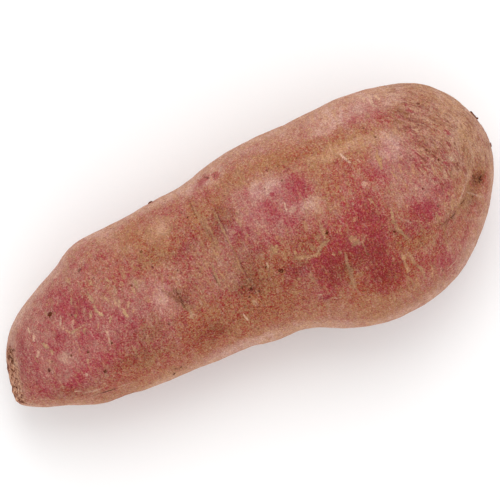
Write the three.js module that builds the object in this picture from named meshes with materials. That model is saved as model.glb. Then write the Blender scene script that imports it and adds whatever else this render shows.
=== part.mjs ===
// A sweet potato: one red-skinned storage root lying on its side, in millimetres, +Z up.
// +X runs from the broken stem end to the blunt tip. The origin is on the table, under the root's middle.
// The root is one solid skin: rings round the long axis, lofted from a few stations and then given lobes,
// folds and dents, a rough scar where it broke from its stem, and a small flat spot that it rests on.
import * as THREE from "three";

// Driving dimensions
const ROOT_LENGTH = 180;
const SCAR_TILT = 0.27; // how far the scar leans back for each millimetre up, so that it shows from above
const SCAR_TURN = 0.26; // how far it leans back for each millimetre to the left
const LEAN_REACH = 30; // the lean dies away over this length of root
const SCAR_SINK = 0.9; // the scar's middle lies this far below its rim
const SCAR_RELIEF = 0.55; // broken fibres and pits in the scar
const UNEVENNESS = 0.35; // slow waves all over the skin

// Where the relief is held back, so that the outline seen from above stays that of the stations
const EDGE_RELIEF = 0.1; // the share of the relief that is left on that outline
const FULL_RELIEF_GIRTH = 0.62; // the relief is whole where the root has this share of its full width
const UPPER_SIDE = { from: -0.15, to: 0.2 }; // what belongs above fades in between these sines of the angle

// Around and along
const SEGMENTS = 84;
const SCAR_RINGS = 5;
const BODY_RINGS = 65;
const PROFILE_STEPS = 1500;
const FOLD_POINTS = 80;

// Stations from the rim of the scar to the tip: the left and right edges seen from above, the top and bottom.
// A bottom below 0 is cut off at the table, which leaves the flat spot.
const STATIONS = [
  { x: -86.6, left: 7.6, right: -9.4, top: 33.6, bottom: 15.9 },
  { x: -84.8, left: 12.0, right: -11.4, top: 38.0, bottom: 11.8 },
  { x: -80.0, left: 16.6, right: -14.4, top: 41.5, bottom: 8.8 },
  { x: -72.0, left: 20.5, right: -17.9, top: 45.5, bottom: 6.4 },
  { x: -63.5, left: 24.0, right: -21.8, top: 48.6, bottom: 4.6 },
  { x: -58.5, left: 25.9, right: -22.4, top: 50.0, bottom: 3.7 },
  { x: -53.0, left: 29.6, right: -22.7, top: 51.1, bottom: 3.0 },
  { x: -45.0, left: 31.0, right: -23.8, top: 52.0, bottom: 2.5 },
  { x: -32.0, left: 31.2, right: -24.4, top: 52.6, bottom: 1.8 },
  { x: -19.0, left: 32.4, right: -25.1, top: 53.0, bottom: 0.8 },
  { x: -9.5, left: 32.8, right: -25.6, top: 54.0, bottom: 0.0 },
  { x: 0.0, left: 35.1, right: -27.3, top: 55.8, bottom: -0.5 },
  { x: 9.0, left: 36.6, right: -27.8, top: 57.8, bottom: -0.6 },
  { x: 20.0, left: 37.1, right: -32.8, top: 60.2, bottom: -0.4 },
  { x: 30.0, left: 36.8, right: -36.3, top: 61.6, bottom: 0.2 },
  { x: 41.0, left: 37.3, right: -37.4, top: 62.0, bottom: 1.1 },
  { x: 52.0, left: 37.1, right: -36.2, top: 60.8, bottom: 2.2 },
  { x: 62.0, left: 35.6, right: -32.7, top: 57.8, bottom: 4.3 },
  { x: 70.5, left: 33.2, right: -27.0, top: 53.6, bottom: 7.2 },
  { x: 78.0, left: 29.7, right: -19.8, top: 48.4, bottom: 11.4 },
  { x: 84.0, left: 22.8, right: -12.1, top: 42.2, bottom: 16.8 },
  { x: 88.4, left: 14.5, right: -3.6, top: 35.6, bottom: 23.2 },
  { x: 90.0, left: 5.6, right: 5.6, top: 29.4, bottom: 29.4 },
];
const FULL_WIDTH = Math.max(...STATIONS.map((station) => station.left - station.right));

// Long, low ribs of flesh that run down the root: each one's direction round it in degrees (0 is the left
// edge, 90 the top), how far it turns over the length, its half width in degrees and its height.
const RIBS = [
  { at: 62, turn: 18, spread: 17, height: 0.9 },
  { at: 118, turn: -12, spread: 20, height: 0.8 },
  { at: 214, turn: 20, spread: 20, height: 1.2 },
  { at: 292, turn: -16, spread: 18, height: 0.5 },
  { at: 331, turn: 10, spread: 15, height: 1.0 },
];

// Slow waves: how long each is along the root, how far it sways as it goes round, and where the sway starts.
// They come and go in patches: so many round the root, turned once round it in so much length.
const WAVES = [
  { length: 46, sway: 2.2, start: 0 },
  { length: 31, sway: 3.0, start: 4.7 },
];
const WAVE_PATCHES = { round: 3, length: 145 };

// Fibres that stand in the scar's broken face, as crossed waves: radians for each millimetre left and up.
const SCAR_FIBRES = [
  { left: 1.3, up: 0.6, start: 0 },
  { left: -1.1, up: 0.9, start: 1 },
];

// Swellings and dents, placed by where they are seen from above, or from below for those under the root.
// A dent's height is negative. along and across are half widths.
const SWELLINGS = [
  { x: -31, y: 0, along: 6, across: 7, height: 1.3 },
  { x: -19, y: -1, along: 5, across: 7, height: -1.3 },
  { x: -21, y: 22, along: 9, across: 4, height: 1.2 },
  { x: -30, y: 15, along: 16, across: 3.5, height: -0.9 },
  { x: -2.5, y: -8, along: 5, across: 5, height: -1.2 },
  { x: -48, y: 22, along: 9, across: 5, height: 0.7 },
  { x: -60, y: -4, along: 12, across: 9, height: 0.6 },
  { x: 16, y: 13, along: 12, across: 8, height: 0.9 },
  { x: 12, y: -20, along: 10, across: 6, height: -0.9 },
  { x: 64, y: 29, along: 7, across: 4, height: 0.9 },
  { x: 44, y: -12, along: 17, across: 11, height: 0.6 },
  { x: 81.5, y: -8, along: 4.5, across: 5, height: -2.0 },
  { x: 74, y: 14, along: 8, across: 10, height: 0.6 },
  { x: -40, y: -6, along: 11, across: 8, height: 1.1, under: true },
  { x: -14, y: 16, along: 8, across: 6, height: -1.4, under: true },
  { x: -62, y: 8, along: 9, across: 7, height: -1.0, under: true },
  { x: 58, y: -14, along: 8, across: 8, height: -1.3, under: true },
  { x: 52, y: 18, along: 10, across: 8, height: 0.9, under: true },
  { x: 74, y: 6, along: 5, across: 5, height: -1.2, under: true },
];

// Folds in the skin: a raised lip along a curve, with a valley beside it on the side towards `toward`.
const FOLDS = [
  { name: "valley along the left shoulder", path: [[0, 20.5], [30, 18.5], [64, 17]], toward: [0, 1],
    gap: 3.8, width: 3.0, lip: 0.7, valley: 1.1 },
  { name: "fold round the tip's main lobe", path: [[79, 0], [73, -10], [57, -17]], toward: [0.6, -0.8],
    gap: 3.2, width: 2.5, lip: 1.1, valley: 1.5 },
  { name: "fold over the right flank", path: [[-76, -15.5], [-62, -18.5], [-44, -20.5]], toward: [0, -1],
    gap: 2.4, width: 2.1, lip: 0.7, valley: 0.9 },
  { name: "furrow under the left side", path: [[-58, 14], [-20, 20], [22, 22]], toward: [0, -1],
    gap: 4.0, width: 3.6, lip: 0.6, valley: 1.2, under: true },
  { name: "furrow under the tip", path: [[34, -20], [56, -16], [76, -4]], toward: [0.2, 1],
    gap: 3.4, width: 3.0, lip: 0.6, valley: 1.2, under: true },
];
const FOLD_START = 0.12; // a fold starts and ends this share of a half wave up from nothing

const gauss = (distance, spread) => Math.exp(-0.5 * (distance / spread) ** 2);

function catmullRom(before, from, to, after, t) {
  const bend = 2 * before - 5 * from + 4 * to - after;
  const twist = 3 * (from - to) + after - before;
  return from + 0.5 * t * (to - before + t * (bend + t * twist));
}

// The station at a place between the listed ones. Past the tip each edge runs on as the opposite one, so the
// tip is round.
function stationAt(place) {
  const last = STATIONS.length - 1;
  const tip = STATIONS[last - 1];
  const beyondTip = { x: tip.x, left: tip.right, right: tip.left, top: tip.bottom, bottom: tip.top };
  const pick = (i) => (i > last ? beyondTip : STATIONS[Math.max(i, 0)]);
  const i = Math.min(Math.floor(place), last - 1);
  const between = {};
  for (const key of Object.keys(beyondTip)) {
    const [before, from, to, after] = [i - 1, i, i + 1, i + 2].map((k) => pick(k)[key]);
    between[key] = catmullRom(before, from, to, after, place - i);
  }
  return between;
}

// The places of the body's rings, which stand evenly along the skin from the rim of the scar to the tip.
function ringPlaces() {
  const placeOf = (step) => (step / PROFILE_STEPS) * (STATIONS.length - 1);
  const profile = [];
  const lengths = [];
  for (let step = 0; step <= PROFILE_STEPS; step++) {
    const station = stationAt(placeOf(step));
    const radius = (station.left - station.right + station.top - station.bottom) / 4;
    profile.push(new THREE.Vector2(station.x, radius));
    lengths.push(step === 0 ? 0 : lengths[step - 1] + profile[step].distanceTo(profile[step - 1]));
  }
  const places = [];
  for (let ring = 0; ring <= BODY_RINGS; ring++) {
    const wanted = (ring / BODY_RINGS) * lengths[PROFILE_STEPS];
    places.push(placeOf(lengths.findIndex((length) => length >= wanted)));
  }
  return places;
}
const RING_PLACES = ringPlaces();

// A point of the plain root, before its relief. Near the scar its ring leans until it is in the scar's plane.
function plainPoint(station, angle) {
  const middle = { y: (station.left + station.right) / 2, z: (station.top + station.bottom) / 2 };
  const y = middle.y + ((station.left - station.right) / 2) * Math.cos(angle);
  const z = middle.z + ((station.top - station.bottom) / 2) * Math.sin(angle);
  const lean = Math.max(0, 1 - (station.x - STATIONS[0].x) / LEAN_REACH) ** 2;
  const x = station.x + lean * (SCAR_TILT * (z - middle.z) + SCAR_TURN * (y - middle.y));
  return new THREE.Vector3(x, y, z);
}

// Each fold's curve as close points, worked out once.
for (const fold of FOLDS) {
  const corners = fold.path.map(([x, y]) => new THREE.Vector2(x, y));
  fold.points = new THREE.SplineCurve(corners).getPoints(FOLD_POINTS);
  fold.side = new THREE.Vector2(...fold.toward).normalize();
}

// How far one fold lifts or sinks a point, by its distance across the fold.
function foldHeight(fold, x, y) {
  const here = new THREE.Vector2(x, y);
  const squares = fold.points.map((p) => p.distanceToSquared(here));
  const closest = squares.indexOf(Math.min(...squares));
  const offset = here.sub(fold.points[closest]);
  const across = Math.sign(offset.dot(fold.side)) * offset.length();
  const position = closest / FOLD_POINTS;
  const fade = Math.sin(Math.PI * THREE.MathUtils.lerp(FOLD_START, 1 - FOLD_START, position));
  const pastEnd = position === 0 || position === 1 ? gauss(offset.cross(fold.side), fold.width) : 1;
  const section = fold.lip * gauss(across, fold.width) - fold.valley * gauss(across - fold.gap, fold.width);
  return fade * pastEnd * section;
}

// How far the relief lifts the skin at a point of the plain root. What belongs above fades out to the sides.
function relief(point, angle, station) {
  const turn = point.x / ROOT_LENGTH;
  let height = 0;
  for (const rib of RIBS) {
    const away = THREE.MathUtils.radToDeg(angle) - rib.at - rib.turn * turn;
    height += rib.height * gauss(THREE.MathUtils.euclideanModulo(away + 180, 360) - 180, rib.spread);
  }
  const above = THREE.MathUtils.smoothstep(Math.sin(angle), UPPER_SIDE.from, UPPER_SIDE.to);
  const shareOf = (feature) => (feature.under ? 1 - above : above);
  for (const s of SWELLINGS)
    height += s.height * shareOf(s) * gauss(point.x - s.x, s.along) * gauss(point.y - s.y, s.across);
  for (const fold of FOLDS) height += shareOf(fold) * foldHeight(fold, point.x, point.y);
  const patchTurn = WAVE_PATCHES.round * angle + (2 * Math.PI * point.x) / WAVE_PATCHES.length;
  const patch = 0.5 + 0.5 * Math.sin(patchTurn);
  for (const wave of WAVES) {
    const along = (2 * Math.PI * point.x) / wave.length;
    height += UNEVENNESS * patch * Math.sin(along + wave.sway * Math.sin(angle + wave.start));
  }
  const girth = (station.left - station.right) / FULL_WIDTH;
  const awayFromEdge = THREE.MathUtils.lerp(EDGE_RELIEF, 1, Math.sin(angle) ** 2);
  return height * Math.min(1, girth / FULL_RELIEF_GIRTH) * awayFromEdge;
}

// A point of the skin: the plain root's point, moved straight out by the relief there.
function bodyPoint(place, angle) {
  const step = 0.02;
  const station = stationAt(place);
  const point = plainPoint(station, angle);
  const further = plainPoint(stationAt(Math.min(place + step, STATIONS.length - 1)), angle);
  const nearer = plainPoint(stationAt(Math.max(place - step, 0)), angle);
  const round = plainPoint(station, angle + step).sub(plainPoint(station, angle - step));
  const outward = round.cross(further.sub(nearer)).normalize();
  return point.addScaledVector(outward, relief(point, angle, station));
}

// The scar is its rim drawn in towards the middle, sunk and broken up by the crossed waves of its fibres.
function scarPoint(share, angle) {
  const rim = bodyPoint(0, angle);
  const middle = bodyPoint(0, 0).add(bodyPoint(0, Math.PI)).multiplyScalar(0.5);
  const point = middle.lerp(rim, share);
  let broken = 0;
  for (const fibre of SCAR_FIBRES)
    broken += Math.sin(fibre.left * point.y + fibre.up * point.z + fibre.start);
  point.x += (1 - share ** 4) * (SCAR_SINK + 0.5 * SCAR_RELIEF * broken);
  return point;
}

// The rings are a sphere's, each moved to its place: first the scar from its middle out, then the body.
function rootGeometry() {
  const geometry = new THREE.SphereGeometry(1, SEGMENTS, SCAR_RINGS + BODY_RINGS);
  const position = geometry.getAttribute("position");
  for (let i = 0; i < position.count; i++) {
    const ring = Math.floor(i / (SEGMENTS + 1));
    const angle = (-2 * Math.PI * (i % (SEGMENTS + 1))) / SEGMENTS; // this way round the faces point out
    const onScar = ring < SCAR_RINGS;
    const place = RING_PLACES[ring - SCAR_RINGS];
    const point = onScar ? scarPoint(ring / SCAR_RINGS, angle) : bodyPoint(place, angle);
    position.setXYZ(i, point.x, point.y, Math.max(point.z, 0)); // no lower than the table
  }
  geometry.computeBoundingBox();
  const middle = geometry.boundingBox.getCenter(new THREE.Vector3());
  geometry.translate(-middle.x, -middle.y, 0);
  geometry.computeVertexNormals();
  return geometry;
}

const skin = new THREE.MeshStandardMaterial({ color: 0xa96f5e, roughness: 0.72, metalness: 0 });
const root = new THREE.Mesh(rootGeometry(), skin);
root.name = "sweet_potato";

const sweetPotato = new THREE.Group();
sweetPotato.add(root);
export default sweetPotato;
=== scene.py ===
"""A red-skinned sweet potato: the looks of its skin, scar and rootlets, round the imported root."""

import math

import bmesh
import bpy
import numpy as np
from mathutils import Euler, Matrix, Vector, kdtree, noise


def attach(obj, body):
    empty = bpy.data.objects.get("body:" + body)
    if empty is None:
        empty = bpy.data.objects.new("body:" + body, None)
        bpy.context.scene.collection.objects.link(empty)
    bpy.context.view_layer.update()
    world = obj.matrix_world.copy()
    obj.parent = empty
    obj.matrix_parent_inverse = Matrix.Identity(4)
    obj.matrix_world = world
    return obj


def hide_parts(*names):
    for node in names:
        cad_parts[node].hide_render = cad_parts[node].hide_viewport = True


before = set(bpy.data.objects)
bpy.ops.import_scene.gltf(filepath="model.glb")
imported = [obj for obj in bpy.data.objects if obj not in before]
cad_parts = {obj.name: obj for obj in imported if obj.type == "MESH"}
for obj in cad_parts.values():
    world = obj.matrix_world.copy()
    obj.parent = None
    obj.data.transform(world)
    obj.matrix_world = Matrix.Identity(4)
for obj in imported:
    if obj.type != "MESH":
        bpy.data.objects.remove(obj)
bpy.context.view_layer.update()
# Both kinds of random draw are seeded, so every run gives the same root.
rng = np.random.default_rng(27)
noise.seed_set(27)

# The script measures in millimetres and turns them to metres where a mesh is written.
MM = 0.001

# How the root is seen: from straight above, turned so that its tip points up and to the right
PICTURE_PX = 500
MM_PER_PX = 0.3326
ROOT_TURN = math.radians(24.96)
WIDEST_HEIGHT = 28.0
PICTURE_CENTRE = (2.56, 3.93)
LENS = 300.0
SENSOR = 36.0
# The lamps: how far each stands towards the picture's top, its height and its size in metres, and its watts
LAMPS = [("key", 0.42, 0.72, 0.60, 2.5), ("fill", -0.8, 0.2, 0.9, 1.8)]
WORLD_LIGHT = 0.85

# Skin zones, seen from above: where each lies, its half sizes, its turn in degrees and how much it adds

# red: more of the red pigment, or less, which leaves the tan cork bare
RED_ZONES = [
    # stem end
    (-66, 0, 19, 14, 0, 0.14), (-82, 2, 5, 11, 0, 0.25), (-57, 11, 5.5, 6, 0, 0.45),
    (-63, 15, 5, 4, 20, 0.18), (-66.5, 3.5, 3.5, 3, 0, 0.25), (-54, 1.5, 9, 2.5, 0, 0.20),
    (-28, -12, 50, 7, 0, 0.12), (20, -14, 40, 9, 0, 0.12), (50, -14, 14, 12, 0, 0.1),
    (-60, -9, 5.5, 3, 10, 0.38), (-68.5, -11.2, 4.4, 1.8, 0, 0.5), (-77, -9.2, 4.5, 2.4, 0, 0.35),
    (-52, -12, 5, 3.4, 0, 0.25), (-67, -2, 3, 3, 0, -0.2), (-86, -2, 4, 11, 0, -0.3),
    (-80, 6, 4, 9, 0, 0.05),
    # middle
    (-30, -8, 7, 3, 0, 0.15), (-38, 14, 7, 2.6, 0, 0.14), (-15, 14, 7, 8, 0, 0.18),
    (-21.5, -16, 5, 2.2, 0, 0.28), (-10, -6, 4, 3, 0, 0.12), (-2.5, 27, 4, 2.5, 0, 0.2),
    (-47, 22, 5, 2.5, 0, 0.12), (-18, 27, 6, 2.4, 0, 0.12), (-37, -5, 4, 3.4, 0, -0.22),
    (-24, -7, 3, 2.4, 0, -0.22), (-38, 9, 6, 3, 0, -0.12), (-37, 27, 7, 4, 0, -0.25),
    (-21, 23, 5, 3, 0, -0.32), (-27, 20, 9, 3, 0, -0.18), (-8, 5, 3, 20, 4, -0.18),
    (-47, 16, 3, 3, 0, -0.12), (-26, 4, 7, 3, 0, -0.1), (0, -17, 14, 4, 0, -0.06),
    # main lobe
    (2.5, 8.5, 4, 3, 0, 0.35), (9, 3.5, 6, 3, 0, 0.33), (12.5, 13, 3.4, 4.5, 0, 0.25),
    (18.5, 15.5, 4.5, 4.5, 0, 0.2), (25, 16, 3.2, 4.6, 0, 0.62), (20, 5, 6, 4, 0, 0.22),
    (13, -7, 5, 2.6, -20, 0.3), (24, -12, 6.5, 6.5, 0, 0.55), (21, -18, 3.6, 3.6, 0, 0.45),
    (29, -7, 6, 3.4, 20, 0.35), (34, -4, 4.4, 4.4, 0, 0.3), (42, -3, 6, 8, 0, 0.68),
    (33, -12, 4.6, 3.4, 0, 0.4), (39, -13, 5, 4.6, 0, 0.45), (40, -22, 6, 4.8, -10, 0.68),
    (46, -25, 4, 3, 0, 0.3), (30, -24, 5, 3.2, 0, 0.28), (37, 3, 3.2, 3.2, 0, 0.25),
    (50.5, 7, 3.4, 3.2, 0, 0.33), (46, 10, 5, 3, 0, 0.16), (59, -8, 5, 3.6, 0, 0.6),
    (53, -11, 3.4, 3.4, 0, 0.2), (59, -24, 3, 3.6, 0, 0.5), (54, -25, 4.6, 5, 0, 0.22),
    (32, 28, 6, 2.6, 0, 0.12), (20, 29, 4, 2, 0, 0.1), (40, 13, 3, 4, 0, 0.15),
    (10, 0.5, 2.4, 1.8, 0, -0.3), (19, -5, 8, 2.6, 0, -0.3), (28, 7, 5, 4.4, 0, -0.24),
    (12, 26, 14, 4, 0, -0.2), (45, 21.5, 15, 2.6, -4, -0.32), (52, 0, 2.4, 6.5, 0, -0.22),
    (57, -17, 5, 3, 10, -0.2), (35, -7.5, 2, 2.4, 0, -0.35), (44, -33, 18, 4.4, 0, -0.2),
    (5, -10, 6, 4, 0, -0.15), (15, -14, 3, 3, 0, -0.1), (28, -19, 1.6, 4, 0, -0.25),
    # tip
    (64, 5, 4, 2.4, 0, 0.14), (64, 23, 3, 3, 0, 0.14), (69, -4, 3, 2, 0, 0.12), (67, -19, 3, 3, 0, 0.1),
    (72, 20, 6, 9, 0, -0.2), (75, 6, 7, 7, 0, -0.22), (72, -10, 7, 3.4, 30, -0.3),
    (82, 0, 6, 15, 0, -0.32), (62, 18, 3.4, 4.4, 0, -0.24), (84, 20, 5, 9, 20, -0.25),
    (20, 31, 34, 3.5, 0, -0.12), (28, -6, 16, 8, 0, 0.24), (40, -20, 9, 8, 0, 0.32),
    (-40, -6, 6, 5, 0, 0.15), (-42, -1, 10, 8, 0, 0.12), (0, 16, 4, 5, 0, 0.1),
    (48, 24, 34, 10, 0, -0.07), (80, -6.4, 4.6, 3.6, 0, 0.5), (-70, 4, 14, 14, 0, -0.08),
    (-2, -26, 36, 6, 0, -0.16), (24, -31, 18, 5, 0, -0.12), (22, -6, 14, 6, 0, 0.12),
    (42, -24, 10, 5, 0, 0.14), (-10, -25, 18, 5, 0, -0.12), (32, 4, 16, 7, 0, 0.07),
]
# warm: browner and yellower cork, or less, which is cooler and pinker
WARM_ZONES = [
    (-64, 0, 20, 12, 0, -0.3), (10, 14, 14, 8, 0, -0.2), (-42, 4, 12, 9, 0, -0.5), (80, -7, 5, 5, 0, 0.1),
    (83, 17, 6, 14, 15, 0.3), (45, 27, 12, 5, 0, -0.2), (0, 16, 4, 4, 0, 0.3), (-69, 3, 17, 14, 0, -0.55),
    (-60, 20, 14, 7, 20, -0.35), (15, 14, 12, 8.5, 0, -0.9), (58, 9, 8, 12, 0, -0.5),
    (63, -4, 7, 6, 0, -0.5), (-30, 1, 4.5, 6, 0, -0.4), (57, 30, 5, 3.4, 0, -0.45),
    (-5, 29, 4, 2.4, 0, -0.35), (0, 11, 3, 3, 0, -0.4), (64, -26, 8, 5, 20, -0.3),
    (-15, -23.5, 14, 2, 0, -0.5), (18, -19, 4, 3, 0, -0.3), (-30, 23, 6, 5.5, 20, 0.5),
    (-26, 15, 8, 3.4, 0, 0.55), (-8, 18, 3, 8, 0, 0.6), (-2, 22, 3, 5, 0, 0.5), (-17, 20, 10, 5, 0, 0.25),
    (14, 28, 14, 3.4, 0, 0.5), (24, 26, 6, 4.4, 0, 0.5), (40, 24.5, 18, 3.4, -6, 0.45),
    (44, 15, 6, 4, 0, 0.3), (34, 15, 5, 11, 0, 0.35), (-13, -14, 17, 7, 0, 0.5), (3, -10, 8, 10, 0, 0.75),
    (17, -3, 11, 4.4, 0, 0.5), (29, -18, 2.4, 9, 0, 0.5), (34, -28, 10, 6, 0, 0.4),
    (48, -19, 2.6, 11, -8, 0.6), (55, -17, 6, 2.4, 10, 0.5), (30, -33, 6, 2.6, 0, 0.2),
    (77, -8, 8, 3.6, 25, 0.55), (-46, -14, 8, 4.4, 0, 0.4), (-22, -8, 8, 8, 0, 0.3),
    (-71, -12.5, 3, 2, 0, 0.4), (82, 3, 4, 9, 0, 0.35), (-43, 9, 5, 6, 0, 0.25), (-5, -20, 70, 8, 0, 0.3),
    (46, 20.5, 14, 3, -4, 0.4), (-38, -5, 4, 4, 0, 0.3), (77, 28, 5, 5, 0, 0.3),
]
# lightness: paler where the bloom is rubbed dry, and painted highlight on lit bumps, ridges and rims
# darker where the skin is stained, and painted shade in dents, valleys and folds
BLOOM_AND_PAINTED_LIGHT_ZONES = [
    (-81, 4, 4, 11, 0, -0.3), (76.8, -5, 1.4, 3, -40, 0.5), (71.4, -10, 4, 1.3, 35, 0.5),
    (75, -10.6, 5, 1.8, 40, -0.5), (66, -14.6, 4, 1.2, 15, -0.4), (40, 24, 14, 1.6, -5, -0.3),
    (62.5, 25, 3.4, 2.4, 0, -0.35), (24.5, 25.2, 4, 1.8, 0, -0.3), (-30, 1.5, 3.6, 5.5, 0, 0.8),
    (-67.5, -2.4, 4.2, 3.4, 0, 0.45), (-20.5, 23.5, 4, 3.6, 0, 0.4), (-26, 20.5, 8, 2, 0, 0.3),
    (14, 21, 5.5, 5, 0, 0.5), (8, 13, 4, 3.4, 0, 0.35), (22.5, 9.5, 6, 1.8, 0, 0.35),
    (28, 7, 4.4, 4.8, 0, 0.45), (36, 23, 6, 2.6, 0, 0.3), (46, 20.5, 13, 2, -4, 0.6),
    (59.5, 14, 3.6, 6, 0, 0.5), (66, 29.5, 4, 3, 0, 0.6), (53, 13.5, 3.4, 3, 0, 0.3),
    (76, 10, 5, 5, 0, 0.3), (-38, 26, 5, 5, 0, 0.2), (-24, -7.5, 2.4, 2.4, 0, 0.4),
    (-3.5, -12, 2, 1.8, 0, 0.3), (44, 31, 8, 4, 0, 0.6), (57, 33, 6, 3, 0, 0.3),
    (10, 0.5, 2, 1.6, 0, 0.4), (-55, 4, 3, 2, 0, 0.15), (64, 0, 4, 4, 0, 0.2), (85, 16, 4, 10, 20, 0.2),
    (-20, -10, 60, 9, 0, -0.2), (25, -12, 40, 9, 0, -0.15), (0, 4, 80, 12, 0, -0.08),
    (-24, -1.5, 2.6, 3.6, 0, -0.6), (-20, 1, 3.4, 3, 0, -0.25), (-21, -15.5, 6, 3.4, 0, -0.45),
    (-3, -7, 5, 3.4, 0, -0.35), (-30, 16, 4, 2.4, 0, -0.3), (-21, 13, 7, 2.4, 0, -0.3),
    (-5, 16, 3.4, 5, 0, -0.35), (25, -14, 5, 5, 0, -0.55), (37, -13, 7.5, 5.4, 0, -0.55),
    (39, -22, 6.5, 4.4, 0, -0.65), (81, -6.5, 2.6, 2.8, 0, -0.5), (15, -8, 4, 2.6, 0, -0.4),
    (5, 2, 4, 3, 0, -0.2), (25.5, 16, 3.4, 3.6, 0, -0.4), (-66, 13, 2.6, 2.6, 0, -0.35),
    (-55.5, 9, 3.4, 5, 0, -0.25), (-45, -13, 10, 3.4, 0, -0.35), (-60, -12, 5, 3, 0, -0.2),
    (-72, -14, 9, 2.4, -10, -0.2), (43, -5, 5, 6, 0, -0.3), (53, -14, 7, 5, 0, -0.25),
    (60, -8, 4, 3, 0, -0.2), (76, -13, 4, 3, 30, -0.3), (-12, 14, 6, 6, 0, -0.2),
    (67, 24, 4, 2.6, 0, -0.25), (74, 17, 2, 6, 10, -0.15), (-84, 4, 2.4, 4, 0, -0.3),
    (20, -22, 6, 3, 0, -0.2), (62, -20, 4, 3, 0, -0.2), (0, 8, 6, 13, 0, -0.25),
    (-40, -2, 8, 7, 0, -0.15), (20, 0, 7, 5, 0, -0.2), (0, 17, 4, 4, 0, -0.3), (80, 4, 6, 8, 0, 0.15),
    (-62, -8, 6, 3, 0, 0.25), (-59, -23, 11, 4, 0, -0.6), (0, 30, 6, 3, 0, 0.4), (22, 16, 6, 5, 0, 0.2),
    (40, -8, 6, 4, 0, 0.25), (0, -4, 8, 7, 0, -0.25), (-40, -8, 6, 4, 0, -0.2), (82, 14, 5, 12, 0, 0.3),
    (81, 2, 5, 7, 0, 0.2), (78, 29, 6, 5, 0, 0.3), (-60, -8, 7, 4, 0, 0.2), (48, 22, 36, 14, 0, 0.2),
    (85, 14, 6, 16, 15, 0.5), (76, -20, 14, 5, 30, 0.3), (86, -6, 3, 10, 0, 0.3),
    (-73, -17, 10, 5, 0, -0.3), (-8, -25, 22, 3, 0, 0.35), (20, 31, 34, 3.5, 0, 0.3),
]
# soil: where dark specks of soil are left in the skin
SOIL_ZONES = [
    (-2.8, -7.8, 2.8, 1.8, 0, 0.45), (-4.5, -13, 4, 4, 0, 0.4), (8.4, -6.6, 2.4, 1.6, 0, 0.5),
    (-24.2, -2, 1.2, 3, 0, 0.35), (-85, 2, 3, 12, 15, 0.4), (66, -13.5, 5, 1.6, 30, 0.5),
    (81, -7, 3, 3, 0, 0.6), (-60, -19, 6, 1.2, 0, 0.5), (48, -11, 3, 2, 0, 0.5),
    (-36, -21.5, 3, 1.6, 0, 0.4), (-5.4, 0, 6, 12, 0, 0.25), (74, 12, 6, 12, 0, 0.25),
]

# Colours of the marks
TAN = "#b28260"
FLECK = "#ba8f6e"
PALE = "#c9a088"
BROWN = "#7d482c"
DARK = "#5a220a"
RED = "#8f2033"

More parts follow.
